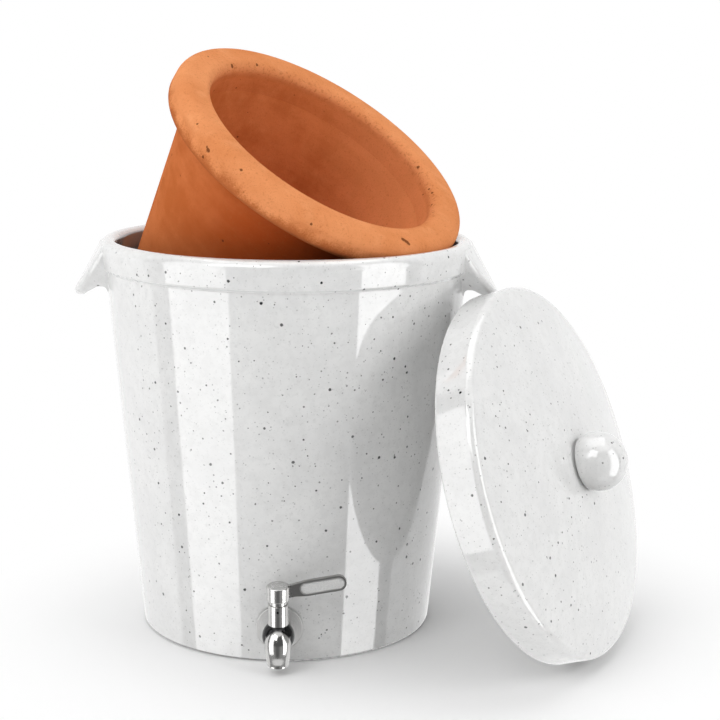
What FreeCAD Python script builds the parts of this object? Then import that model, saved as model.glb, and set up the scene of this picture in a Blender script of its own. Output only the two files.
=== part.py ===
import FreeCAD, Part
import math
import os

from FreeCAD import Placement, Rotation, Vector

# A glazed stoneware water pot with two lug ears, a terracotta filter pot that
# leans in its mouth, a loose lid that leans on its right ear, and a quarter-turn
# stainless tap at the foot of its front wall.
# The frame: millimetres, +Z up, the origin at the middle of the pot's base.
# The tap faces -Y and the ears stand at +X and -X.

# Clearances
loose_gap = 0.3        # curved faces of different loose pieces
running_gap = 0.05     # a turning pin in its hole
snug_gap = 0.03        # a fixed piece in its seat
gap_steps = 12         # tries at closing a loose piece's gap to the pot
filter_rings = 8       # rings that stand for the filter's lower wall in those tries

# Receptacle: the glazed pot
pot_height = 302.0
base_radius = 113.2
wall_lean_deg = 5.24
wall_thickness = 9.5
floor_thickness = 12.0
foot_radius = 2.0
floor_corner_radius = 3.0
rim_width = 12.9        # from the collar's outside to the mouth
collar_height = 22.5
collar_proud = 3.0
collar_foot_radius = 1.8
lip_outer_radius = 6.5
lip_inner_radius = 5.5
ledge_width = 14.5
ledge_depth = 36.0
ledge_edge_radius = 2.0
ledge_thickness = 9.0

# Lug ears: a drooping flap drawn out of the collar on each side
ear_half_width = 50.0
ear_reach = 21.0
ear_droop = 38.4
ear_thickness = 8.8
ear_edge_radius = 3.9
ear_arch_drop = 35.5
ear_arch_radius = 4.0
ear_root_depth = 5.0
ear_root_lap = 1.0
ear_inner_straight = 0.62   # share of the inner face that stays straight before the arch

# Clay filter pot
filter_rim_clearance = 9.1   # round the rim, if the filter stood straight in the mouth
filter_rim_height = 24.5
filter_rim_outer_round = 10.0
filter_rim_lower_round = 7.0
filter_rim_inner_round = 8.0
filter_rim_width = 26.9
filter_rim_step = 16.0
filter_height = 168.0
filter_taper_deg = 10.2
filter_wall = 12.0
filter_floor = 14.0
filter_foot_round = 6.0
filter_neck_round = 2.5
filter_tilt_deg = 36.1
filter_turn_deg = -33.4

# Lid and knob
lid_overlap = 9.0
lid_height = 28.6
lid_crown = 19.0
lid_crown_start = 68.0
lid_crown_spread = 60.0   # how far the crown's curve reaches each way
lid_under_start = 60.0
lid_under_spread = 48.0
lid_plate = 9.0
lid_edge_round = 6.0
lid_foot_round = 2.5
lid_ring_drop = 4.0
lid_ring_width = 7.5
lid_ring_gap = 3.0
lid_ring_round = 1.5
lid_ring_root_round = 0.8
lid_inner_round = 7.0
lid_lean_deg = 18.9
lid_turn_deg = -26.6
lid_aside = 18.7
knob_radius = 21.9
knob_half_length = 21.4
knob_side_round = 20.9
knob_centre_height = 11.3   # above the crown
knob_neck_radius = 15.5
knob_neck_height = 1.4
knob_spigot_radius = 7.0
knob_spigot_length = 6.0

# Tap: places are measured from a flat ground into the outside of the wall
tap_over_floor = 15.9
tap_flat_radius = 18.0
tap_flat_depth = 1.3
inner_flat_radius = 13.6
shank_radius = 7.8
shank_hole_gap = 0.45
shank_past_nut = 8.3
shank_bore_radius = 4.0
thread_pitch = 1.8
thread_depth = 0.7
gasket_radius = 15.5
gasket_thickness = 2.0
flange_radius = 17.0
flange_thickness = 2.2
flange_edge = 0.9
edge_break = 0.3       # round on the small turned edges
cutter_spare = 1.0     # how far a cutter runs past the face that it opens
tap_collar_radius = 9.5
ball_radius = 11.8
ball_sink = 0.5         # how far the ball reaches into the rosette's hole
barrel_radius = 7.4
barrel_top = 25.5
inner_gasket_radius = 13.0
inner_gasket_thickness = 2.0
washer_radius = 13.0
washer_thickness = 1.5
nut_flats = 23.0
nut_thickness = 7.0
nut_edge = 1.0

# Spout: rings of the hood from the ball to the outlet
# (forward of the ball's centre, height, slope of the axis below level, radius)
spout_rings = [
    (-3.0, 2.5, 10.0, 7.4),
    (2.6, 1.4, 28.0, 9.0),
    (6.2, -3.0, 56.0, 9.7),
    (7.4, -10.0, 80.0, 9.2),
    (7.6, -19.0, 90.0, 7.7),
]
spout_wall = 1.3
spout_port_radius = 2.8

# Valve
sleeve_radius = 5.6
sleeve_foot = -5.0
sleeve_over_foot = 14.0
plug_radius = 4.25
plug_port_radius = 2.8
gland_length = 6.2       # its part inside the barrel, above the plug's shoulder
seal_section = 1.7
seal_depths = (6.0, 2.5)   # below the plug's shoulder
seal_groove_width = 2.0
stem_radius = 3.0
stem_square = 4.2
stem_square_height = 1.6   # its foot above the cap's foot
gland_head_radius = 6.5
gland_head_height = 2.9
gland_foot_gap = 0.15
pin_radius = 0.9
pin_under_top = 3.9
pin_bite = 0.8          # how far it reaches into the gland nut
pin_recess = 0.3

# Lever
cap_radius = 8.4
cap_height = 10.8
cap_edge = 0.7
disc_radius = 7.2
disc_thickness = 1.1
screw_head_radius = 2.9
screw_head_height = 2.4
screw_head_gap = 0.6
screw_radius = 1.5
screw_length = 9.5
screw_socket_flats = 2.5
screw_web = 1.4
paddle_start = 15.0
paddle_end = 50.0
paddle_width = 11.4
paddle_thickness = 3.4
paddle_rise_deg = 11.0
paddle_field_margin = 1.7
paddle_field_depth = 0.7
neck_width = 8.8
neck_waist = 6.0       # round where the neck widens into the grip
neck_waist_start = 2.0

ORIGIN = Vector(0, 0, 0)
UP = Vector(0, 0, 1)
wall_slope = math.tan(math.radians(wall_lean_deg))


def wall_outside(height):
    return base_radius + height * wall_slope


def wall_inside(height):
    return wall_outside(height) - wall_thickness / math.cos(math.radians(wall_lean_deg))


def outline(corners):
    """A closed face in the XZ plane from (x, z, corner radius)."""
    count = len(corners)
    edges = []
    last = None
    first = None
    for i in range(count):
        here = Vector(corners[i][0], 0, corners[i][1])
        before = Vector(corners[i - 1][0], 0, corners[i - 1][1])
        after = Vector(corners[(i + 1) % count][0], 0, corners[(i + 1) % count][1])
        size = corners[i][2]
        if size > 0:
            back = (before - here).normalize()
            ahead = (after - here).normalize()
            half = back.getAngle(ahead) / 2
            reach = size / math.tan(half)
            enter = here + back * reach
            leave = here + ahead * reach
            middle_way = (back + ahead).normalize()
            middle = here + middle_way * (size / math.sin(half) - size)
        else:
            enter = here
            leave = here
        if last is not None and (enter - last).Length > 1e-6:
            edges.append(Part.makeLine(last, enter))
        if size > 0:
            edges.append(Part.Arc(enter, middle, leave).toShape())
        if first is None:
            first = enter
        last = leave
    if (first - last).Length > 1e-6:
        edges.append(Part.makeLine(last, first))
    return Part.Face(Part.Wire(edges))


def turned(corners):
    return outline(corners).revolve(ORIGIN, UP, 360)


def rod(radius, start, end):
    """A round bar between two points."""
    way = end - start
    return Part.makeCylinder(radius, way.Length, start, way)


def hexagon(flats, height, start, way):
    """A hexagonal bar with its flats this far apart."""
    corner = flats / 2 / math.cos(math.pi / 6)
    points = []
    for i in range(7):
        angle = i * math.pi / 3
        points.append(Vector(corner * math.cos(angle), corner * math.sin(angle), 0))
    bar = Part.Face(Part.makePolygon(points)).extrude(Vector(0, 0, height))
    bar.Placement = Placement(start, Rotation(UP, way))
    return bar


def block(low, high):
    size = high - low
    return Part.makeBox(size.x, size.y, size.z, low)


# Receptacle

tap_height = floor_thickness + tap_over_floor
collar_foot = pot_height - collar_height
collar_top_radius = wall_outside(pot_height) + collar_proud
mouth_radius = collar_top_radius - rim_width
ledge_radius = mouth_radius - ledge_width
ledge_height = pot_height - ledge_depth
ledge_root = ledge_height - ledge_thickness - (wall_inside(ledge_height) - ledge_radius)
lip_round_centre = Vector(collar_top_radius - lip_outer_radius, 0, pot_height - lip_outer_radius)


def pot_shell():
    return turned([
        (0, 0, 0),
        (base_radius, 0, foot_radius),
        (wall_outside(collar_foot), collar_foot, collar_foot_radius),
        (wall_outside(collar_foot) + collar_proud, collar_foot + collar_proud / 2, collar_foot_radius),
        (collar_top_radius, pot_height, lip_outer_radius),
        (mouth_radius, pot_height, lip_inner_radius),
        (mouth_radius - ledge_depth * wall_slope, ledge_height, ledge_edge_radius),
        (ledge_radius, ledge_height, ledge_edge_radius),
        (ledge_radius, ledge_height - ledge_thickness, ledge_edge_radius),
        (wall_inside(ledge_root), ledge_root, ledge_edge_radius),
        (wall_inside(floor_thickness), floor_thickness, floor_corner_radius),
        (0, floor_thickness, 0),
    ])


def ear_flap():
    """The flap on the +X side, turned about the pot's axis and cut to a half oval."""
    down = Vector(ear_reach, 0, -ear_droop).normalize()
    out = Vector(-down.z, 0, down.x)
    top = lip_round_centre + out * lip_outer_radius
    end = top + down * (Vector(ear_reach, 0, ear_droop).Length + ear_thickness)
    inner_end = end - out * ear_thickness
    arch = pot_height - ear_arch_drop
    turn_in = inner_end - down * ((arch - inner_end.z) / -down.z * ear_inner_straight)
    wall_here = wall_outside(arch)
    flap = turned([
        (lip_round_centre.x - lip_outer_radius / 2, lip_round_centre.z, 0),
        (top.x, top.z, 0),
        (end.x, end.z, 0),
        (inner_end.x, inner_end.z, 0),
        (turn_in.x, turn_in.z, ear_arch_radius),
        (wall_here + ear_arch_radius * 2, arch, ear_arch_radius),
        (wall_here + ear_arch_radius / 2, arch, ear_arch_radius),
        (wall_here - ear_root_lap, arch - ear_arch_radius * 2, 0),
        (wall_here - ear_root_depth, arch - ear_arch_radius * 2, 0),
    ])
    lower = Part.Arc(
        Vector(0, -ear_half_width, 0), Vector(0, 0, -ear_half_width), Vector(0, ear_half_width, 0)
    ).toShape()
    across = Part.makeLine(Vector(0, ear_half_width, 0), Vector(0, -ear_half_width, 0))
    half_oval = Part.Face(Part.Wire([lower, across])).extrude(Vector(pot_height, 0, 0))
    squeeze = FreeCAD.Matrix()
    squeeze.A33 = (ear_droop + ear_thickness / 2) / ear_half_width
    half_oval = half_oval.transformGeometry(squeeze)
    half_oval.translate(Vector(0, 0, top.z))
    upper = block(Vector(0, -ear_half_width, top.z), Vector(pot_height, ear_half_width, pot_height))
    flap = flap.common(half_oval.fuse(upper).removeSplitter())
    rim = []
    for edge in flap.Edges:
        box = edge.BoundBox
        if box.YLength > ear_half_width and box.ZLength > ear_droop / 3:
            rim.append(edge)
    return flap.makeFillet(ear_edge_radius, rim)


# Tap frame: turned with the wall's lean, so that its axis is square to the wall

flat_centre = Vector(0, -wall_outside(tap_height), tap_height)
lean = Rotation(Vector(1, 0, 0), wall_lean_deg)
inward = lean.multVec(Vector(0, 1, 0))
tap_frame = Placement(flat_centre + inward * tap_flat_depth, lean)
wall_left = wall_thickness - tap_flat_depth
shank_hole_radius = shank_radius + shank_hole_gap


def on_tap(shape):
    shape.Placement = tap_frame.multiply(shape.Placement)
    return shape


def receptacle():
    pot = pot_shell()
    ear = ear_flap()
    pot = pot.fuse(ear)
    pot = pot.fuse(ear.mirror(ORIGIN, Vector(1, 0, 0)))
    outer_flat = rod(tap_flat_radius, ORIGIN, Vector(0, -wall_thickness, 0))
    inside = Vector(0, wall_left + wall_thickness, 0)
    inner_flat = rod(inner_flat_radius, Vector(0, wall_left, 0), inside)
    hole = rod(shank_hole_radius, Vector(0, -wall_thickness, 0), inside)
    for cutter in (outer_flat, inner_flat, hole):
        pot = pot.cut(on_tap(cutter))
    return pot


# Clay filter, at rest where its foot lies on the ledge and its rim on the lip

filter_rim_radius = mouth_radius - filter_rim_clearance
filter_mouth_radius = filter_rim_radius - filter_rim_width
filter_neck_radius = filter_rim_radius - filter_rim_step
filter_foot_radius = filter_neck_radius - (filter_height - filter_rim_height) * math.tan(
    math.radians(filter_taper_deg)
)


def clay_filter():
    return turned([
        (0, -filter_height, 0),
        (filter_foot_radius, -filter_height, filter_foot_round),
        (filter_neck_radius, -filter_rim_height, filter_neck_round),
        (filter_rim_radius, -filter_rim_height, filter_rim_lower_round),
        (filter_rim_radius, 0, filter_rim_outer_round),
        (filter_mouth_radius, 0, filter_rim_inner_round),
        (filter_neck_radius - filter_wall, -filter_rim_height, 0),
        (filter_foot_radius - filter_wall, filter_floor - filter_height, filter_wall),
        (0, filter_floor - filter_height, 0),
    ])


def filter_placement(along_axis):
    """The filter's rim touches the lip; this is how far up its own axis it stands."""
    tilt = math.radians(filter_tilt_deg)
    axis = Vector(math.sin(tilt), 0, math.cos(tilt))
    across = Vector(math.cos(tilt), 0, -math.sin(tilt))
    lip_edge = Vector(mouth_radius + lip_inner_radius, 0, pot_height - lip_inner_radius)
    along_rim = lip_edge.dot(across) - lip_inner_radius - loose_gap - filter_rim_radius
    turn = Rotation(UP, filter_turn_deg)
    place = turn.multVec(axis * along_axis + across * along_rim)
    return Placement(place, turn.multiply(Rotation(Vector(0, 1, 0), filter_tilt_deg)))


def close_gap(rings, placement, start, gap_wanted, pot):
    """Moves round edges towards the pot until the nearest is this far from it."""
    where = start
    for step in range(gap_steps):
        edges = rings.copy()
        edges.Placement = placement(where)
        where -= edges.distToShape(pot)[0] - gap_wanted
    return where


def filter_rest(pot):
    """The filter's lower wall is followed by rings set in by the round of its foot."""
    taper = math.radians(filter_taper_deg)
    set_in = filter_foot_round / math.cos(taper)
    rings = []
    for count in range(1, filter_rings + 1):
        up = filter_foot_round * count
        radius = filter_foot_radius + up * math.tan(taper) - set_in
        rings.append(Part.makeCircle(radius, Vector(0, 0, up - filter_height)))
    start = pot_height + filter_height
    gap_wanted = filter_foot_round + loose_gap
    return close_gap(Part.makeCompound(rings), filter_placement, start, gap_wanted, pot)


# Lid, at rest on the floor with its back against the right ear

lid_radius = mouth_radius + lid_overlap
lean_angle = math.radians(lid_lean_deg)
lid_tip = Rotation(Vector(0, 1, 0), 90 - lid_lean_deg)
lid_turn = Rotation(UP, lid_turn_deg)
lid_lowest = (
    (lid_height - lid_foot_round) * math.sin(lean_angle)
    + (lid_radius - lid_foot_round) * math.cos(lean_angle)
    + lid_foot_round
)


def lid_placement(forward):
    place = lid_turn.multVec(Vector(forward, lid_aside, lid_lowest))
    return Placement(place, lid_turn.multiply(lid_tip))


def lid_rest(pot):
    upper_edge = Part.makeCircle(
        lid_radius - lid_foot_round, Vector(0, 0, lid_foot_round - lid_height), UP, 60, 300
    )
    start = wall_outside(pot_height) + lid_radius
    return close_gap(upper_edge, lid_placement, start, lid_foot_round + loose_gap, pot)


def lid():
    ring_outer = mouth_radius - lid_ring_gap
    ring_inner = ring_outer - lid_ring_width
    crown_turn = math.atan(lid_crown / (lid_radius - lid_crown_start))
    under_turn = math.atan(lid_crown / (ring_inner - lid_under_start))
    return turned([
        (0, lid_crown - lid_plate, 0),
        (0, lid_crown, 0),
        (lid_crown_start, lid_crown, lid_crown_spread / math.tan(crown_turn / 2)),
        (lid_radius, 0, lid_edge_round),
        (lid_radius, -lid_height, lid_foot_round),
        (ring_outer, -lid_height, lid_ring_root_round),
        (ring_outer, -lid_height - lid_ring_drop, lid_ring_round),
        (ring_inner, -lid_height - lid_ring_drop, lid_ring_round),
        (ring_inner, -lid_plate, lid_inner_round),
        (lid_under_start, lid_crown - lid_plate, lid_under_spread / math.tan(under_turn / 2)),
    ])


def flattened_ball(radius, half_length, side_round):
    """A ball a little short along z, from three arcs that run into each other."""
    side_centre = Vector(radius - side_round, 0, 0)
    squares = side_centre.x ** 2 + half_length ** 2 - side_round ** 2
    end_round = squares / 2 / (half_length - side_round)
    end_centre = Vector(0, 0, half_length - end_round)
    high = side_centre + (side_centre - end_centre).normalize() * side_round
    low = Vector(high.x, 0, -high.z)
    angle = math.atan2(high.x, high.z - end_centre.z) / 2
    high_middle = end_centre + Vector(math.sin(angle), 0, math.cos(angle)) * end_round
    low_middle = Vector(high_middle.x, 0, -high_middle.z)
    pole = Vector(0, 0, half_length)
    return Part.Face(Part.Wire([
        Part.Arc(-pole, low_middle, low).toShape(),
        Part.Arc(low, Vector(radius, 0, 0), high).toShape(),
        Part.Arc(high, high_middle, pole).toShape(),
        Part.makeLine(pole, -pole),
    ])).revolve(ORIGIN, UP, 360)


def lid_knob():
    """A ball cut flat just above the crown, on a short neck with a spigot."""
    centre = lid_crown + knob_centre_height
    ball = flattened_ball(knob_radius, knob_half_length, knob_side_round)
    ball.translate(Vector(0, 0, centre))
    neck_top = Vector(0, 0, lid_crown + knob_neck_height)
    ball = ball.cut(rod(knob_radius, neck_top - UP * knob_radius, neck_top))
    neck = rod(knob_neck_radius, Vector(0, 0, lid_crown), Vector(0, 0, centre))
    spigot = rod(knob_spigot_radius, Vector(0, 0, lid_crown - knob_spigot_length), Vector(0, 0, centre))
    return ball.fuse(neck).fuse(spigot).removeSplitter()


def lid_with_socket():
    socket = rod(
        knob_spigot_radius + snug_gap,
        Vector(0, 0, lid_crown - knob_spigot_length - snug_gap),
        Vector(0, 0, lid_crown + lid_plate),
    )
    return lid().cut(socket)


# Tap, in its own frame: the flat at y = 0, outside towards -y, the barrel up along z

gasket_face = -gasket_thickness
flange_face = gasket_face - flange_thickness
axis_y = flange_face - ball_radius + ball_sink
cap_foot = barrel_top + gland_head_height + loose_gap
cap_top = cap_foot + cap_height
disc_seat = cap_top - disc_thickness
inner_gasket_face = wall_left + inner_gasket_thickness
washer_face = inner_gasket_face + washer_thickness
nut_face = washer_face + nut_thickness
shank_end = nut_face + shank_past_nut
sleeve_top = sleeve_foot + sleeve_over_foot
plug_shoulder = barrel_top - gland_length
stem_square_foot = cap_foot + stem_square_height
stem_top = disc_seat - screw_head_gap - screw_head_height - screw_web
pin_height = barrel_top - pin_under_top
pin_depth = barrel_radius - sleeve_radius + pin_bite
barrel_axis = Vector(0, axis_y, 0)
groove_floor = sleeve_radius + snug_gap - running_gap - seal_section


def on_axis(shape):
    shape.translate(barrel_axis)
    return shape


def washer(outer, start, thickness):
    low = Vector(0, start, 0)
    high = Vector(0, start + thickness, 0)
    return rod(outer, low, high).cut(rod(shank_radius + snug_gap, low, high))


def spout_tube(less):
    """The hood between its rings, or its hollow when less is the wall."""
    hoops = []
    for forward, height, slope, radius in spout_rings:
        angle = math.radians(slope)
        way = Vector(0, -math.cos(angle), -math.sin(angle))
        hoops.append(Part.Wire(Part.makeCircle(radius - less, Vector(0, axis_y - forward, height), way)))
    return Part.makeLoft(hoops, True)


def shank():
    """The threaded shank, its thread drawn as rings."""
    corners = [(0, 0, 0), (shank_radius, 0, 0), (shank_radius, -flange_face + wall_left, 0)]
    place = -flange_face + wall_left
    end = -flange_face + shank_end
    while place + thread_pitch < end:
        corners.append((shank_radius - thread_depth, place + thread_pitch / 2, 0))
        corners.append((shank_radius, place + thread_pitch, 0))
        place += thread_pitch
    corners.append((shank_radius, end - thread_depth, 0))
    corners.append((shank_radius - thread_depth, end, 0))
    corners.append((0, end, 0))
    bar = turned(corners)
    bar.Placement = Placement(Vector(0, flange_face, 0), Rotation(UP, Vector(0, 1, 0)))
    return bar


def tap_body():
    body = rod(tap_collar_radius, Vector(0, flange_face, 0), barrel_axis)
    body = body.fuse(on_axis(Part.makeSphere(ball_radius)))
    body = body.fuse(on_axis(turned([
        (0, 0, 0),
        (barrel_radius, 0, 0),
        (barrel_radius, barrel_top, edge_break),
        (0, barrel_top, 0),
    ])))
    body = body.fuse(spout_tube(0))
    body = body.fuse(shank())
    room_foot = Vector(0, 0, sleeve_foot - snug_gap)
    valve_room = rod(sleeve_radius + snug_gap, room_foot, Vector(0, 0, barrel_top + cutter_spare))
    body = body.cut(on_axis(valve_room))
    spout_hollow = spout_tube(spout_wall).cut(on_axis(Part.makeCylinder(
        sleeve_radius + spout_wall, barrel_top * 2, Vector(0, 0, sleeve_foot - spout_wall)
    )))
    body = body.cut(spout_hollow)
    forward, height = spout_rings[2][0], spout_rings[2][1]
    port = rod(spout_port_radius, barrel_axis, Vector(0, axis_y - forward, height / 2))
    body = body.cut(port)
    inlet = rod(shank_bore_radius, barrel_axis, Vector(0, shank_end, 0))
    body = body.cut(inlet)
    return body.cut(pin_hole())


def pin_hole():
    start = Vector(0, axis_y - barrel_radius - cutter_spare, pin_height)
    return rod(pin_radius + snug_gap, start, start + Vector(0, pin_depth + cutter_spare + snug_gap, 0))


def retaining_pin():
    start = Vector(0, axis_y - barrel_radius + pin_recess, pin_height)
    return rod(pin_radius, start, start + Vector(0, pin_depth - pin_recess, 0))


def wall_flange():
    disc = turned([
        (0, 0, 0),
        (flange_radius, 0, 0),
        (flange_radius, flange_edge, edge_break),
        (tap_collar_radius + flange_edge, flange_thickness, edge_break),
        (0, flange_thickness, 0),
    ])
    disc.Placement = Placement(Vector(0, gasket_face, 0), Rotation(UP, Vector(0, -1, 0)))
    front = Vector(0, flange_face - cutter_spare, 0)
    return disc.cut(rod(shank_radius + snug_gap, front, ORIGIN))


def lock_nut():
    nut = hexagon(nut_flats, nut_thickness, Vector(0, washer_face, 0), Vector(0, 1, 0))
    corner = nut_flats / 2 / math.cos(math.pi / 6)
    round_off = turned([
        (0, 0, 0),
        (corner - nut_edge, 0, 0),
        (corner, nut_edge, 0),
        (corner, nut_thickness - nut_edge, 0),
        (corner - nut_edge, nut_thickness, 0),
        (0, nut_thickness, 0),
    ])
    round_off.Placement = Placement(Vector(0, washer_face, 0), Rotation(UP, Vector(0, 1, 0)))
    bore = rod(shank_radius + snug_gap, Vector(0, washer_face, 0), Vector(0, nut_face, 0))
    return nut.common(round_off).cut(bore)


def valve_sleeve():
    tube = Part.makeCylinder(sleeve_radius, sleeve_top - sleeve_foot, Vector(0, 0, sleeve_foot))
    tube = tube.cut(Part.makeCylinder(
        plug_radius + running_gap, sleeve_top * 3, Vector(0, 0, sleeve_foot - cutter_spare)
    ))
    port = rod(plug_port_radius, Vector(0, -sleeve_radius * 2, 0), Vector(0, sleeve_radius * 2, 0))
    return on_axis(tube.cut(port))


def valve_plug():
    """The plug and its stem, shut: its port lies across the flow."""
    corners = [(0, sleeve_foot + running_gap, 0), (plug_radius, sleeve_foot + running_gap, edge_break)]
    for depth in seal_depths:
        height = plug_shoulder - depth
        low = height - seal_groove_width / 2
        high = height + seal_groove_width / 2
        corners += [(plug_radius, low, 0), (groove_floor, low, 0)]
        corners += [(groove_floor, high, 0), (plug_radius, high, 0)]
    corners += [
        (plug_radius, plug_shoulder, edge_break),
        (stem_radius, plug_shoulder, 0),
        (stem_radius, stem_top, edge_break),
        (0, stem_top, 0),
    ]
    plug = turned(corners)
    port = rod(plug_port_radius, Vector(-plug_radius * 2, 0, 0), Vector(plug_radius * 2, 0, 0))
    plug = plug.cut(port)
    side = stem_square / 2
    sleeve = Part.makeCylinder(stem_radius + cutter_spare, stem_top, Vector(0, 0, stem_square_foot))
    key = block(Vector(-side, -side, 0), Vector(side, side, stem_top + cutter_spare))
    plug = plug.cut(sleeve.cut(key))
    tapped = Part.makeCylinder(
        screw_radius + snug_gap, screw_length, Vector(0, 0, stem_top + screw_web - screw_length)
    )
    return on_axis(plug.cut(tapped))


def stem_o_rings():
    middle = groove_floor + snug_gap + (seal_section - snug_gap) / 2
    rings = []
    for depth in seal_depths:
        centre = Vector(0, 0, plug_shoulder - depth)
        ring = Part.makeTorus(middle, (seal_section - snug_gap) / 2, centre)
        rings.append(on_axis(ring))
    return Part.makeCompound(rings)


def gland_nut():
    foot = plug_shoulder + gland_foot_gap
    nut = turned([
        (stem_radius + running_gap, foot, 0),
        (sleeve_radius, foot, edge_break),
        (sleeve_radius, barrel_top, 0),
        (gland_head_radius, barrel_top, edge_break),
        (gland_head_radius, barrel_top + gland_head_height, edge_break),
        (stem_radius + running_gap, barrel_top + gland_head_height, 0),
    ])
    return on_axis(nut).cut(pin_hole())


def paddle_outline(margin):
    """The grip's pill shape, less a margin all round."""
    radius = paddle_width / 2
    low = paddle_start + radius
    high = paddle_end - radius
    size = radius - margin
    ends = [
        Vector(low, 0, size), Vector(low - size, 0, 0), Vector(low, 0, -size),
        Vector(high, 0, -size), Vector(high + size, 0, 0), Vector(high, 0, size),
    ]
    return Part.Face(Part.Wire([
        Part.Arc(ends[0], ends[1], ends[2]).toShape(),
        Part.makeLine(ends[2], ends[3]),
        Part.Arc(ends[3], ends[4], ends[5]).toShape(),
        Part.makeLine(ends[5], ends[0]),
    ]))


def tap_lever():
    half = paddle_thickness / 2
    middle = (cap_foot + cap_top) / 2
    grip = paddle_outline(0).extrude(Vector(0, paddle_thickness, 0))
    grip.translate(Vector(0, -half, 0))
    field = paddle_outline(paddle_field_margin).extrude(Vector(0, paddle_field_depth * 2, 0))
    field.translate(Vector(0, -half - paddle_field_depth, 0))
    neck_end = paddle_start + paddle_width / 2
    neck = outline([
        (0, -paddle_width / 2, 0),
        (cap_radius + neck_waist_start, -neck_width / 2, neck_waist),
        (neck_end, -paddle_width / 2, 0),
        (neck_end, paddle_width / 2, 0),
        (cap_radius + neck_waist_start, neck_width / 2, neck_waist),
        (0, paddle_width / 2, 0),
    ]).extrude(Vector(0, paddle_thickness, 0))
    neck.translate(Vector(0, -half, 0))
    arm = grip.fuse(neck).removeSplitter().cut(field)
    arm.rotate(ORIGIN, Vector(0, 1, 0), -paddle_rise_deg)
    arm.translate(Vector(0, 0, middle))
    cap = turned([
        (0, cap_foot, 0),
        (cap_radius, cap_foot, cap_edge),
        (cap_radius, cap_top, cap_edge),
        (disc_radius + snug_gap, cap_top, 0),
        (disc_radius + snug_gap, disc_seat, 0),
        (0, disc_seat, 0),
    ])
    trim = Part.makeCylinder(disc_radius + snug_gap, cap_height, Vector(0, 0, disc_seat))
    lever = cap.fuse(arm).cut(trim)
    side = stem_square / 2 + snug_gap
    socket = block(Vector(-side, -side, 0), Vector(side, side, stem_top + snug_gap))
    round_part = rod(
        stem_radius + snug_gap, Vector(0, 0, cap_foot - cutter_spare), Vector(0, 0, stem_square_foot)
    )
    through = Part.makeCylinder(screw_radius + snug_gap, cap_height, Vector(0, 0, stem_top))
    head_room = Part.makeCylinder(
        screw_head_radius + snug_gap, cap_height, Vector(0, 0, stem_top + screw_web)
    )
    return on_axis(lever.cut(socket).cut(round_part).cut(through).cut(head_room))


def lever_screw():
    seat = stem_top + screw_web
    screw = Part.makeCylinder(screw_head_radius, screw_head_height, Vector(0, 0, seat))
    screw = screw.fuse(Part.makeCylinder(screw_radius, screw_length, Vector(0, 0, seat - screw_length)))
    socket = hexagon(
        screw_socket_flats, screw_head_height, Vector(0, 0, seat + screw_head_height / 2), UP
    )
    return on_axis(screw.cut(socket))


def lever_cap_disc():
    disc = turned([
        (0, disc_seat, 0),
        (disc_radius, disc_seat, 0),
        (disc_radius, cap_top, edge_break),
        (0, cap_top, 0),
    ])
    return on_axis(disc)


# Build and write every piece

pot = receptacle()
filter_pot = clay_filter()
filter_pot.Placement = filter_placement(filter_rest(pot))
lid_place = lid_placement(lid_rest(pot))
cover = lid_with_socket()
cover.Placement = lid_place
knob = lid_knob()
knob.Placement = lid_place

pieces = {
    "receptacle": pot,
    "clay_filter": filter_pot,
    "lid": cover,
    "lid_knob": knob,
    "tap_body": on_tap(tap_body()),
    "wall_flange": on_tap(wall_flange()),
    "outer_gasket": on_tap(washer(gasket_radius, gasket_face, gasket_thickness)),
    "inner_gasket": on_tap(washer(inner_gasket_radius, wall_left, inner_gasket_thickness)),
    "inner_washer": on_tap(washer(washer_radius, inner_gasket_face, washer_thickness)),
    "lock_nut": on_tap(lock_nut()),
    "valve_sleeve": on_tap(valve_sleeve()),
    "valve_plug": on_tap(valve_plug()),
    "stem_o_rings": on_tap(stem_o_rings()),
    "gland_nut": on_tap(gland_nut()),
    "retaining_pin": on_tap(retaining_pin()),
    "tap_lever": on_tap(tap_lever()),
    "lever_screw": on_tap(lever_screw()),
    "lever_cap_disc": on_tap(lever_cap_disc()),
}
os.makedirs("parts", exist_ok=True)
for name, shape in pieces.items():
    shape.exportStep(os.path.join("parts", name + ".step"))
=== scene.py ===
import math

import bmesh
import bpy
from mathutils import Matrix, Vector

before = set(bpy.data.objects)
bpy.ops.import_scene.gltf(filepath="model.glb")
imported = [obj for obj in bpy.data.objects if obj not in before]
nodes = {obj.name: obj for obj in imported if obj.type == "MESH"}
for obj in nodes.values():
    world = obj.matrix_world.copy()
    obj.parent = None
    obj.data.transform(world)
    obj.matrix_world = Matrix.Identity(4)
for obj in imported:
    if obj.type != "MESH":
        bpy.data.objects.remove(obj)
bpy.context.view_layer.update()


# Shader maths: a wire is a socket that sums and products add their own Math nodes to

class Wire:
    def __init__(self, finish, socket):
        self.finish = finish
        self.socket = socket

    def math(self, operation, *others):
        return self.finish.node("ShaderNodeMath", {"operation": operation}, {
            i: value for i, value in enumerate((self,) + others)
        })

    def __add__(self, other):
        return self.math("ADD", other)

    def __radd__(self, other):
        return self.math("ADD", other)

    def __mul__(self, other):
        return self.math("MULTIPLY", other)

    def __rmul__(self, other):
        return self.math("MULTIPLY", other)

    def __sub__(self, other):
        return self.math("SUBTRACT", other)

    def __rsub__(self, other):
        return self.finish.node("ShaderNodeMath", {"operation": "SUBTRACT"}, {0: other, 1: self})

    def __truediv__(self, other):
        return self.math("DIVIDE", other)

    def above(self, low, high):
        """0 below low, 1 above high, and smooth between them."""
        return self.finish.node("ShaderNodeMapRange", {"interpolation_type": "SMOOTHSTEP"}, {
            "Value": self, "From Min": low, "From Max": high, "To Min": 0.0, "To Max": 1.0,
        }, "Result")

    def below(self, low, high):
        return 1.0 - self.above(low, high)


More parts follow.
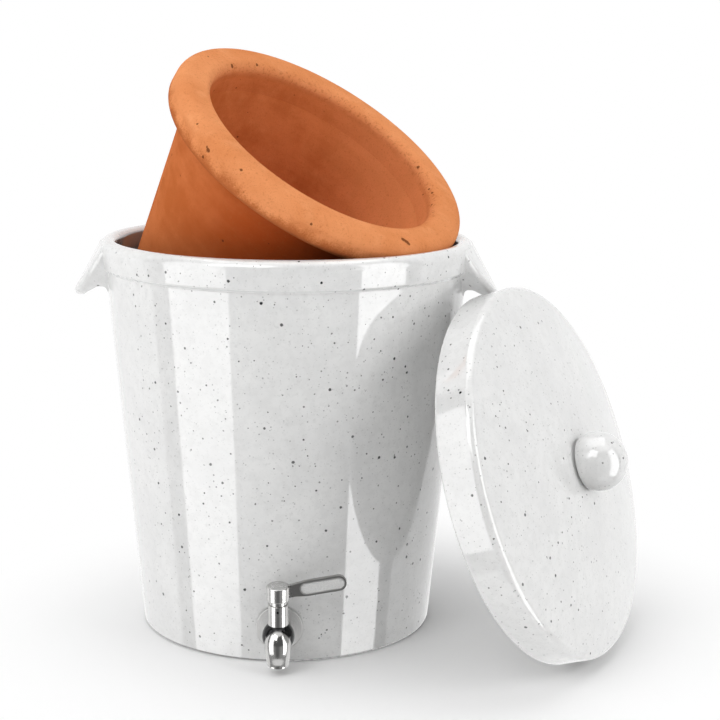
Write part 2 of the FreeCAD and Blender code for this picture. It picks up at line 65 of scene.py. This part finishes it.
class Nodes:
    """Makes and joins the nodes of one tree."""

    def __init__(self, owner):
        owner.use_nodes = True
        self.tree = owner.node_tree
        self.tree.nodes.clear()

    def node(self, kind, settings=None, values=None, output=0):
        made = self.tree.nodes.new(kind)
        for key, value in (settings or {}).items():
            setattr(made, key, value)
        for key, value in (values or {}).items():
            socket = made.inputs[key]
            if isinstance(value, Wire):
                self.tree.links.new(value.socket, socket)
            elif socket.type == "RGBA" and len(value) == 3:
                socket.default_value = (*value, 1.0)
            else:
                socket.default_value = value
        if not made.outputs:
            return made
        return Wire(self, made.outputs[output])

    def place(self):
        return self.node("ShaderNodeTexCoord", output="Object")

    def split(self, way, letter):
        parts = self.node("ShaderNodeSeparateXYZ", None, {"Vector": way})
        return Wire(self, parts.socket.node.outputs[letter])

    def length(self, first, second):
        return (first * first + second * second).math("SQRT")

    def vector(self, operation, *values, output="Vector"):
        return self.node("ShaderNodeVectorMath", {"operation": operation}, {
            i: value for i, value in enumerate(values)
        }, output)

    def scaled(self, way, scale):
        return self.node("ShaderNodeVectorMath", {"operation": "SCALE"}, {0: way, "Scale": scale})

    def apart(self, where, point):
        """How far a place lies from a point."""
        return self.vector("DISTANCE", where, point, output="Value")

    def along(self, where, start, direction):
        """How far a place lies from a start point along a direction."""
        offset = self.vector("SUBTRACT", where, start)
        return self.vector("DOT_PRODUCT", offset, direction, output="Value")

    def round_axis(self, where, middle, axis):
        """How far a place lies from an axis, and a way that turns with it round the axis."""
        across = self.vector("CROSS_PRODUCT", self.vector("SUBTRACT", where, middle), axis)
        return self.vector("LENGTH", across, output="Value"), self.vector("NORMALIZE", across)

    def noise(self, scale, detail=2.0, where=None, roughness=0.5):
        return self.node("ShaderNodeTexNoise", {"normalize": True}, {
            "Vector": where or self.place(), "Scale": scale, "Detail": detail, "Roughness": roughness,
        }, "Fac")

    def blend(self, mask, first, second):
        return self.node("ShaderNodeMix", {"data_type": "RGBA"}, {
            "Factor": mask, 6: first, 7: second,
        }, 2)

    def bump(self, height, strength, distance):
        return self.node("ShaderNodeBump", None, {
            "Height": height, "Strength": strength, "Distance": distance,
        })


class Finish(Nodes):
    """A material and the nodes that make it."""

    def __init__(self, name):
        self.material = bpy.data.materials.new(name)
        super().__init__(self.material)

    def surface(self, **values):
        shader = self.node("ShaderNodeBsdfPrincipled", None, {
            key.replace("_", " "): value for key, value in values.items()
        })
        self.node("ShaderNodeOutputMaterial", None, {"Surface": shader})
        return self.material


def specks(finish, where, spacing, radius, softness):
    """Round specks scattered in space: a mask, and the random shade of each."""
    cells = finish.node("ShaderNodeTexVoronoi", {"feature": "F1"}, {
        "Vector": where, "Scale": 1.0 / spacing, "Randomness": 1.0,
    }, "Color")
    shade = finish.node("ShaderNodeSeparateColor", None, {"Color": cells})
    size = Wire(finish, shade.socket.node.outputs[1])
    distance = Wire(finish, cells.socket.node.outputs["Distance"])
    reach = (size * 0.6 + 0.4) * (radius / spacing)
    return (distance / reach).below(1.0 - softness, 1.0 + softness), shade


# Specks in the glaze: spacing, radius, softness of the edge, strength least and range, colour
glaze_specks = [
    (0.0030, 0.00050, 0.5, (0.20, 0.40), (0.36, 0.36, 0.355)),
    (0.0044, 0.00058, 0.4, (0.40, 0.45), (0.20, 0.20, 0.20)),
    (0.0068, 0.00080, 0.3, (0.60, 0.40), (0.08, 0.08, 0.08)),
    (0.0105, 0.00120, 0.2, (0.85, 0.15), (0.022, 0.022, 0.024)),
]
speck_wobble = 0.0007

# Pot: the radius of the middle of its wall at the floor and how it grows with height,
# the heights between which the painted shade on its inside ends, and those between which its foot's
# painted contact shadow ends
pot_wall_middle = 0.1072
pot_wall_slope = 0.0964
inside_shade_ends = (0.2982, 0.3000)
foot_shadow_ends = (0.0009, 0.0022)

# Knob: the height of its middle, and how far below that the painted shade on its underside starts and is
# full
knob_height = 0.1508
underside_shade_start = 0.002
underside_shade_full = 0.020


def glaze_finish(name, middle_height=None):
    """White glaze with iron specks, with painted shade on the pot's inside and a painted contact shadow
    where it meets the floor.
    The height of a piece's middle, if given, paints shade on its underside too."""
    finish = Finish(name)
    place = finish.place()
    wobble = finish.node("ShaderNodeTexNoise", None, {
        "Vector": place, "Scale": 900.0, "Detail": 2.0,
    }, "Color")
    where = finish.vector("MULTIPLY_ADD", wobble, (speck_wobble, speck_wobble, speck_wobble), place)
    cloud = finish.noise(26.0, 5.0, place, 0.62)
    curd = finish.noise(150.0, 3.0, place, 0.6)
    fine = finish.noise(420.0, 3.0, place, 0.6)
    white = finish.blend(cloud.above(0.3, 0.7), (0.70, 0.70, 0.697), (0.755, 0.755, 0.748))
    white = finish.blend(curd.above(0.42, 0.66) * 0.5, white, (0.66, 0.66, 0.655))
    white = finish.blend(fine.above(0.56, 0.72) * 0.4, white, (0.55, 0.55, 0.545))
    shade = white
    for spacing, radius, softness, strength, speck_colour in glaze_specks:
        mask, chance = specks(finish, where, spacing, radius, softness)
        shade = finish.blend(mask * (chance * strength[1] + strength[0]), shade, speck_colour)
    rise = finish.split(place, "Z")
    radius = finish.length(finish.split(place, "X"), finish.split(place, "Y"))
    within_wall = (rise * pot_wall_slope + pot_wall_middle - radius).above(-0.001, 0.001)
    # Painted shade: the pot's inside is greyer below its lip
    inside = within_wall * rise.below(*inside_shade_ends)
    shade = finish.blend(inside * 0.9, shade, (0.17, 0.205, 0.225))
    # Painted contact shadow: a dark line where the pot meets the floor
    shade = finish.blend(rise.below(*foot_shadow_ends) * 0.9, shade, (0.03, 0.03, 0.031))
    if middle_height:
        # Painted shade: the part below the piece's middle is greyer
        underside = rise.below(middle_height - underside_shade_full, middle_height - underside_shade_start)
        shade = finish.blend(underside * 0.6, shade, (0.36, 0.36, 0.355))
    swell = finish.noise(38.0, 1.0, place)
    peel = finish.noise(260.0, 2.0, place)
    height = swell * 0.75 + peel * 0.04
    normal = finish.bump(height, 0.2, 0.0012)
    return finish.surface(
        Base_Color=shade, Roughness=fine * 0.04 + 0.05, Normal=normal, IOR=1.6, Specular_IOR_Level=0.7,
        Coat_Weight=0.6, Coat_Roughness=0.03,
    )


# Clay filter: the middle of its rim's top, its axis, its rim's depth, the radius of the middle
# of its wall under the rim and how that shrinks with depth, and its rim's inner edge
filter_top = (0.030238, -0.019938, 0.375716)
filter_axis = (0.49189, -0.32434, 0.80799)
rim_depth = 0.0245
wall_middle = 0.0999
wall_slope = 0.18
rim_inner_edge = (0.0970, 0.1000)

# Deep shade on the filter's wall where the collar keeps the light off: the heights between which
# it starts and ends, and the places from left to right between which it grows
shade_starts = (0.25, 0.29)
shade_ends = (0.306, 0.375)
shade_grows = (-0.12, 0.0)

# Painted light on the right-hand part of the filter's inside, which makes it paler: the places between
# which it grows
painted_light_grows = (0.0, 0.085)

# Stray pits in the clay: spacing, radius and softness
pit_spacing = 0.0085
pit_radius = 0.0010
pit_softness = 0.5

# Chips in the filter's rim: place and size
rim_chips = [
    ((0.0872, -0.0929, 0.3117), 0.0023),
    ((0.0896, -0.0924, 0.3098), 0.0021),
    ((0.0912, -0.092, 0.3086), 0.0015),
    ((-0.0586, -0.0994, 0.3922), 0.001),
    ((-0.0499, -0.1123, 0.3751), 0.0019),
    ((-0.0505, -0.111, 0.377), 0.0013),
    ((-0.0536, -0.1097, 0.3701), 0.0012),
    ((-0.026, -0.1252, 0.3626), 0.0011),
    ((0.0225, -0.131, 0.3265), 0.0012),
    ((0.1012, 0.041, 0.353), 0.0014),
    ((0.1093, 0.0184, 0.3378), 0.001),
    ((0.1115, 0.0124, 0.3353), 0.0011),
    ((-0.0429, 0.0128, 0.4304), 0.0019),
    ((-0.0255, 0.0383, 0.4309), 0.0015),
]


def clay_finish(name):
    """Bare clay: a lighter rim, and a deeper wall and inside with the marks of turning; painted shade
    under the rim, along the rim's lower edge and by the collar, and painted light on the inside's
    right-hand part.
    """
    finish = Finish(name)
    place = finish.place()
    depth = finish.along(place, filter_top, filter_axis) * -1.0
    radius, outward = finish.round_axis(place, filter_top, filter_axis)

    middle = (depth - rim_depth) * -wall_slope + wall_middle
    inside = (middle - radius).above(-0.0015, 0.0015) * depth.above(0.003, 0.013)
    wall = depth.above(rim_depth - 0.002, rim_depth + 0.002)
    # Painted shade on the wall just under the rim
    under_rim_shade = wall * depth.below(rim_depth + 0.006, rim_depth + 0.055)

    rings = finish.node("ShaderNodeCombineXYZ", None, {
        "X": depth * 6.0, "Y": depth * 2.0, "Z": radius * 4.0,
    })
    turned_place = finish.vector("ADD", finish.scaled(outward, 0.035), rings)
    streak = finish.noise(22.0, 4.0, turned_place, 0.6)
    mottle = finish.noise(34.0, 5.0, place, 0.6) * 0.75 + streak * 0.25
    cloud = finish.noise(14.0, 6.0, place, 0.62)
    grain = finish.noise(900.0, 4.0, place, 0.7)
    blotch = finish.noise(60.0, 4.0, place, 0.6)
    crumb = finish.noise(430.0, 3.0, place, 0.7)

    rim_clay = finish.blend(cloud.above(0.32, 0.68), (0.66, 0.235, 0.085), (0.77, 0.305, 0.125))
    rim_clay = finish.blend(blotch.above(0.5, 0.75) * 0.35, rim_clay, (0.84, 0.38, 0.175))
    outer_band = depth.above(0.006, 0.012) * depth.below(rim_depth - 0.001, rim_depth + 0.003)
    rim_clay = finish.blend(outer_band * blotch.above(0.42, 0.62) * 0.45, rim_clay, (0.52, 0.160, 0.050))
    # Painted shade: the rim darkens in a ragged band toward its lower edge
    ragged_depth = depth + (blotch - 0.5) * 0.014 + (grain - 0.5) * 0.012
    rim_edge_shade = ragged_depth.above(0.0120, 0.0212) * (1.0 - inside)
    rim_clay = finish.blend(rim_edge_shade * 0.75, rim_clay, (0.36, 0.085, 0.022))
    wall_clay = finish.blend(mottle.above(0.35, 0.65), (0.49, 0.134, 0.038), (0.61, 0.185, 0.062))
    wall_clay = finish.blend(cloud.above(0.45, 0.7) * 0.5, wall_clay, (0.62, 0.190, 0.064))
    wall_clay = finish.blend(under_rim_shade * 0.15, wall_clay, (0.30, 0.045, 0.008))
    right = finish.split(place, "X")
    rise = finish.split(place, "Z")
    # Painted deep shade on the filter's wall by the collar
    collar_shade = rise.above(*shade_starts) * rise.below(*shade_ends) * right.above(*shade_grows)
    wall_clay = finish.blend(collar_shade * 0.75, wall_clay, (0.40, 0.050, 0.006))
    inner_clay = finish.blend(mottle.above(0.35, 0.65), (0.50, 0.140, 0.040), (0.62, 0.190, 0.064))
    inner_clay = finish.blend(blotch.above(0.5, 0.75) * 0.3, inner_clay, (0.70, 0.245, 0.092))
    # Painted light: the inside grows paler towards the right
    inner_clay = finish.blend(right.above(*painted_light_grows) * 0.6, inner_clay, (0.79, 0.30, 0.120))
    lip_edge = inside * (depth + (grain - 0.5) * 0.01).below(0.006, 0.013) * blotch.above(0.36, 0.5)
    inner_clay = finish.blend(lip_edge * 0.7, inner_clay, (0.36, 0.085, 0.020))
    clay = finish.blend(wall, rim_clay, wall_clay)
    clay = finish.blend(inside, clay, inner_clay)
    clay = finish.blend(grain.above(0.52, 0.75) * 0.4, clay, (0.36, 0.10, 0.03))
    clay = finish.blend(crumb.above(0.56, 0.68) * 0.3, clay, (0.42, 0.12, 0.035))
    inner_edge = radius.below(*rim_inner_edge) * depth.below(0.005, 0.012) * crumb.above(0.52, 0.60)
    clay = finish.blend(inner_edge * 0.22, clay, (0.33, 0.075, 0.018))

    pits, pit_shade = specks(finish, place, pit_spacing, pit_radius, pit_softness)
    rim_share = outer_band * 0.4 + 0.12
    pits = pits * (pit_shade * -1.0 + rim_share).above(0.0, 0.02)
    for chip_place, chip_radius in rim_chips:
        ragged = finish.apart(place, chip_place) / (crumb * (chip_radius * 1.9))
        pits = pits.math("MAXIMUM", ragged.below(0.7, 1.1))
    clay = finish.blend(pits * 0.85, clay, (0.13, 0.036, 0.012))
    height = grain * 0.4 + crumb * 0.25 + blotch * 0.2 + streak * 0.15 - pits * 1.6
    normal = finish.bump(height, 0.4, 0.0009)
    return finish.surface(
        Base_Color=clay, Roughness=0.86 + grain * 0.08, Normal=normal, Specular_IOR_Level=0.01,
    )


# The tap's axis comes square out of the wall, which leans outwards, and its stem stands square to that
tap_axis = (0.0, -0.99582, -0.09133)
stem_axis = (0.0, -0.09133, 0.99582)

# Tap's ball: its middle, the reach within which its dark reflection is painted, and where its sides and
# top half start
ball_middle = (0.0, -0.12991, 0.02670)
reflection_reach = (0.0120, 0.0125)
ball_sides = (0.0074, 0.0096)
ball_top = (0.0, 0.0035)


def steel_finish(name, roughness, shade=(0.60, 0.595, 0.585), ball=None):
    """Polished steel; a ball given by its middle gets a painted dark reflection on its upper half and
    its sides.
    """
    finish = Finish(name)
    place = finish.place()
    haze = finish.noise(160.0, 3.0, place)
    fine = finish.noise(2600.0, 3.0, place, 0.6)
    colour = finish.blend(haze.above(0.3, 0.7), tuple(c * 0.93 for c in shade), shade)
    if ball:
        aside = finish.split(place, "X").math("ABSOLUTE").above(*ball_sides)
        upper = finish.along(place, ball, stem_axis).above(*ball_top)
        # Painted dark reflection on the ball's upper half and sides
        dark = finish.apart(place, ball).below(*reflection_reach) * aside.math("MAXIMUM", upper)
        colour = finish.blend(dark, colour, (0.035, 0.035, 0.036))
    normal = finish.bump(fine, 0.05, 0.0003)
    rough = fine * (roughness * 0.6) + haze * (roughness * 0.4) + roughness * 0.5
    return finish.surface(Base_Color=colour, Metallic=1.0, Roughness=rough, Normal=normal)


def turned_steel_finish(name, middle, axis, roughness, shade=(0.80, 0.795, 0.785)):
    """Steel with the fine rings that a lathe or a brush leaves round an axis."""
    finish = Finish(name)
    place = finish.place()
    radius, outward = finish.round_axis(place, middle, axis)
    rings = finish.node("ShaderNodeCombineXYZ", None, {"X": radius, "Y": radius, "Z": radius})
    where = finish.vector("ADD", finish.scaled(outward, 0.0015), rings)
    line = finish.noise(2400.0, 3.0, where, 0.6)
    haze = finish.noise(160.0, 3.0, place)
    colour = finish.blend(line.above(0.3, 0.7), tuple(c * 0.82 for c in shade), shade)
    normal = finish.bump(line, 0.25, 0.0002)
    rough = line * (roughness * 0.5) + haze * (roughness * 0.3) + roughness * 0.6
    return finish.surface(Base_Color=colour, Metallic=0.55, Roughness=rough, Normal=normal)


# Lever: the cap's middle, the way its grip points and the way across it, the ends of the grip's
# pill shape, and, from the pill's middle line, where its satin field and the painted highlight along its
# edge end
cap_middle = (0.0, -0.133013, 0.060560)
grip_axis = (0.98163, -0.01743, 0.19002)
grip_side = (-0.19081, -0.08965, 0.97753)
grip_low = 0.0207
grip_high = 0.0443
grip_starts = (0.0088, 0.0105)
field_ends = (0.0038, 0.0041)
edge_highlight_ends = (0.0047, 0.0050)


def lever_finish(name):
    """Polished steel, with a satin field inside a painted highlight along the grip's edge."""
    finish = Finish(name)
    place = finish.place()
    reach = finish.along(place, cap_middle, grip_axis)
    side = finish.along(place, cap_middle, grip_side)
    past_ends = reach - reach.math("MAXIMUM", grip_low).math("MINIMUM", grip_high)
    distance = finish.length(past_ends, side)
    field = distance.below(*field_ends)
    edge = distance.below(*edge_highlight_ends) * (1.0 - field)
    grip = reach.above(*grip_starts)
    haze = finish.noise(160.0, 3.0, place)
    grain = finish.noise(1700.0, 3.0, place, 0.65)
    steel = finish.blend(haze.above(0.3, 0.7), (0.61, 0.605, 0.595), (0.66, 0.655, 0.645))
    steel = finish.blend(grip, steel, (0.40, 0.395, 0.388))
    # Painted highlight: a bright ring round the satin field
    steel = finish.blend(edge, steel, (0.74, 0.735, 0.725))
    satin = finish.blend(grain.above(0.3, 0.7), (0.70, 0.70, 0.69), (0.86, 0.86, 0.85))
    colour = finish.blend(field, steel, satin)
    normal = finish.bump(grain, 0.12, 0.0002)
    rough = grain * 0.06 + haze * 0.05 + 0.08 + grip * 0.16 + field * 0.12
    metal = 1.0 - field * 0.5
    return finish.surface(Base_Color=colour, Metallic=metal, Roughness=rough, Normal=normal)


def soft_finish(name, colour, darker, roughness):
    """Silicone, plastic or rubber with a slightly uneven colour and a fine grain."""
    finish = Finish(name)
    cloud = finish.noise(240.0, 3.0)
    grain = finish.noise(2400.0, 2.0)
    shade = finish.blend(cloud.above(0.3, 0.7), darker, colour)
    normal = finish.bump(grain, 0.12, 0.0003)
    return finish.surface(Base_Color=shade, Roughness=cloud * 0.12 + roughness, Normal=normal)


# Middles of the rosette and of the disc in the lever's cap
rosette_middle = (0.0, -0.117331, 0.027756)
disc_middle = (0.0, -0.13357, 0.0663)

glaze = glaze_finish("speckled_glaze")
knob_glaze = glaze_finish("knob_glaze", knob_height)
clay = clay_finish("bare_clay")
polished = steel_finish("polished_steel", 0.13)
body_steel = steel_finish("body_steel", 0.13, ball=ball_middle)
dark_steel = steel_finish("dark_steel", 0.2, (0.03, 0.03, 0.03))
brushed = turned_steel_finish("brushed_steel", rosette_middle, tap_axis, 0.34)
lever_steel = lever_finish("lever_steel")
disc_steel = turned_steel_finish("disc_steel", disc_middle, stem_axis, 0.26, (0.58, 0.58, 0.57))
silicone = soft_finish("clear_silicone", (0.78, 0.78, 0.76), (0.7, 0.7, 0.68), 0.4)
seat_plastic = soft_finish("seat_plastic", (0.86, 0.86, 0.84), (0.8, 0.8, 0.78), 0.35)
seal_rubber = soft_finish("seal_rubber", (0.03, 0.03, 0.03), (0.018, 0.018, 0.018), 0.5)

finishes = {
    "receptacle": glaze,
    "lid": glaze,
    "lid_knob": knob_glaze,
    "clay_filter": clay,
    "tap_body": body_steel,
    "wall_flange": brushed,
    "lock_nut": brushed,
    "inner_washer": brushed,
    "gland_nut": polished,
    "retaining_pin": dark_steel,
    "tap_lever": lever_steel,
    "lever_screw": polished,
    "lever_cap_disc": disc_steel,
    "valve_plug": polished,
    "outer_gasket": silicone,
    "inner_gasket": silicone,
    "valve_sleeve": seat_plastic,
    "stem_o_rings": seal_rubber,
}
for name, material in finishes.items():
    mesh = nodes[name].data
    mesh.materials.clear()
    mesh.materials.append(material)


# Floor: its half width, the point that its shadows lie round, and how far from there it turns white
floor_half_width = 6.0
floor_middle = (0.08, -0.06, 0.0)
floor_whitens = (0.15, 0.36)


def seen_rays(nodes_of):
    """1 for the rays that the camera, shiny surfaces and clear ones send out, and 0 for light's own."""
    ray = nodes_of.node("ShaderNodeLightPath", output="Is Camera Ray")
    glossy = Wire(nodes_of, ray.socket.node.outputs["Is Glossy Ray"])
    through = Wire(nodes_of, ray.socket.node.outputs["Is Transmission Ray"])
    return ray + glossy + through


def floor_finish(name):
    """Lit near the object, so that its shadows show, and pure white far out."""
    finish = Finish(name)
    seen = seen_rays(finish)
    plain = finish.node("ShaderNodeBsdfDiffuse", None, {"Color": (0.93, 0.93, 0.93)})
    white = finish.node("ShaderNodeEmission", None, {"Color": (1.0, 1.0, 1.0), "Strength": 1.0})
    far = finish.apart(finish.place(), floor_middle).above(*floor_whitens)
    mixed = finish.node("ShaderNodeMixShader", None, {0: far * seen, 1: plain, 2: white})
    finish.node("ShaderNodeOutputMaterial", None, {"Surface": mixed})
    return finish.material


def floor_piece():
    mesh = bpy.data.meshes.new("floor")
    bm = bmesh.new()
    bmesh.ops.create_grid(bm, x_segments=1, y_segments=1, size=floor_half_width)
    bm.to_mesh(mesh)
    bm.free()
    piece = bpy.data.objects.new("floor", mesh)
    bpy.context.scene.collection.objects.link(piece)
    mesh.materials.append(floor_finish("white_floor"))
    piece.visible_glossy = False
    return piece


floor = floor_piece()


# Light: a tall soft box on each side, a wide one above, and one in front, high and to the left

def lamp(name, place, aim, width, height, power):
    light = bpy.data.lights.new(name, "AREA")
    light.shape = "RECTANGLE"
    light.size = width
    light.size_y = height
    light.energy = power
    holder = bpy.data.objects.new(name, light)
    holder.location = place
    holder.rotation_euler = (Vector(aim) - Vector(place)).to_track_quat("-Z", "Y").to_euler()
    bpy.context.scene.collection.objects.link(holder)
    return holder


def beside(azimuth, distance, height):
    """A place this many degrees to the right of the camera's side of the pot."""
    angle = math.radians(azimuth)
    return (math.sin(angle) * distance, -math.cos(angle) * distance, height)


lamp("left_box", beside(-53.5, 1.5, 0.3), (0.0, 0.0, 0.3), 1.12, 2.4, 14.6)
lamp("right_box", beside(61.6, 1.5, 0.3), (0.0, 0.0, 0.3), 0.80, 2.4, 16.5)
lamp("front_box", beside(-28.0, 2.0, 1.9), (0.0, 0.0, 0.4), 1.6, 1.2, 19.0)
lamp("over_box", (0.0, 0.15, 1.9), (0.0, 0.15, 0.0), 1.8, 1.4, 11.0)


# Dim screen: its radius, its bottom and its top, the heights between which it turns from its lower
# part's shade to its upper one's, and how far to each side its lower part gets brighter
screen_radius = 3.0
screen_bottom = -3.0
screen_top = 3.5
screen_turns = (-0.1, 0.4)
screen_band = (0.3, 1.6)


def dark_side():
    """A dim half-round screen behind the camera, which only shiny surfaces see."""
    mesh = bpy.data.meshes.new("dark_side")
    bm = bmesh.new()
    low = bm.verts.new((-screen_radius, 0.0, screen_bottom))
    high = bm.verts.new((-screen_radius, 0.0, screen_top))
    edge = bm.edges.new((low, high))
    bmesh.ops.spin(
        bm, geom=[low, high, edge], cent=(0.0, 0.0, 0.0), axis=(0.0, 0.0, 1.0),
        angle=math.pi, steps=24, use_merge=False,
    )
    bm.to_mesh(mesh)
    bm.free()
    screen = bpy.data.objects.new("dark_side", mesh)
    bpy.context.scene.collection.objects.link(screen)
    finish = Finish("dim_screen")
    place = finish.place()
    lower = finish.split(place, "Z").below(*screen_turns)
    band = finish.split(place, "X").math("ABSOLUTE").above(*screen_band)
    bright = lower * (band * 0.22 + 0.16) + (1.0 - lower) * 0.12
    grey = finish.blend(bright, (0.0, 0.0, 0.0), (1.0, 1.0, 1.0))
    light = finish.node("ShaderNodeEmission", None, {"Color": grey, "Strength": 1.0})
    finish.node("ShaderNodeOutputMaterial", None, {"Surface": light})
    mesh.materials.append(finish.material)
    screen.visible_camera = False
    screen.visible_diffuse = False
    screen.visible_shadow = False
    screen.visible_transmission = False
    return screen


screen = dark_side()


def studio():
    """White to the camera and to shiny surfaces, and a softer light to the rest."""
    world = bpy.data.worlds.new("studio")
    bpy.context.scene.world = world
    studio_nodes = Nodes(world)
    way = studio_nodes.node("ShaderNodeTexCoord", output="Generated")
    back = studio_nodes.split(way, "Y")
    up = studio_nodes.split(way, "Z")
    bright = back.above(-0.5, 0.6) * 0.75 + up.above(0.0, 0.8) * 0.25
    room = studio_nodes.blend(bright, (0.2, 0.2, 0.2), (0.6, 0.6, 0.6))
    colour = studio_nodes.blend(seen_rays(studio_nodes), room, (1.0, 1.0, 1.0))
    light = studio_nodes.node("ShaderNodeBackground", None, {"Color": colour, "Strength": 1.0})
    studio_nodes.node("ShaderNodeOutputWorld", None, {"Surface": light})


studio()

# Camera: its place, its angles and its lens, fitted to the outlines of the pot, the filter and the lid
camera_place = (0.0578, -1.2504, 0.4534)
heading = 0.0006
pitch = 0.1958
roll = 0.0104
focal_length = 81.515

ahead = Vector((
    -math.sin(heading) * math.cos(pitch), math.cos(heading) * math.cos(pitch), -math.sin(pitch),
))
right = Vector((math.cos(heading), math.sin(heading), 0.0))
up = right.cross(ahead)
right_rolled = right * math.cos(roll) + up * math.sin(roll)
up_rolled = up * math.cos(roll) - right * math.sin(roll)
lens = bpy.data.cameras.new("camera")
lens.lens = focal_length
lens.sensor_width = 36.0
lens.clip_end = 60.0
camera = bpy.data.objects.new("camera", lens)
turn = Matrix((right_rolled, up_rolled, -ahead)).transposed()
camera.matrix_world = Matrix.Translation(camera_place) @ turn.to_4x4()
bpy.context.scene.collection.objects.link(camera)
bpy.context.scene.camera = camera
bpy.context.scene.view_settings.view_transform = "Standard"
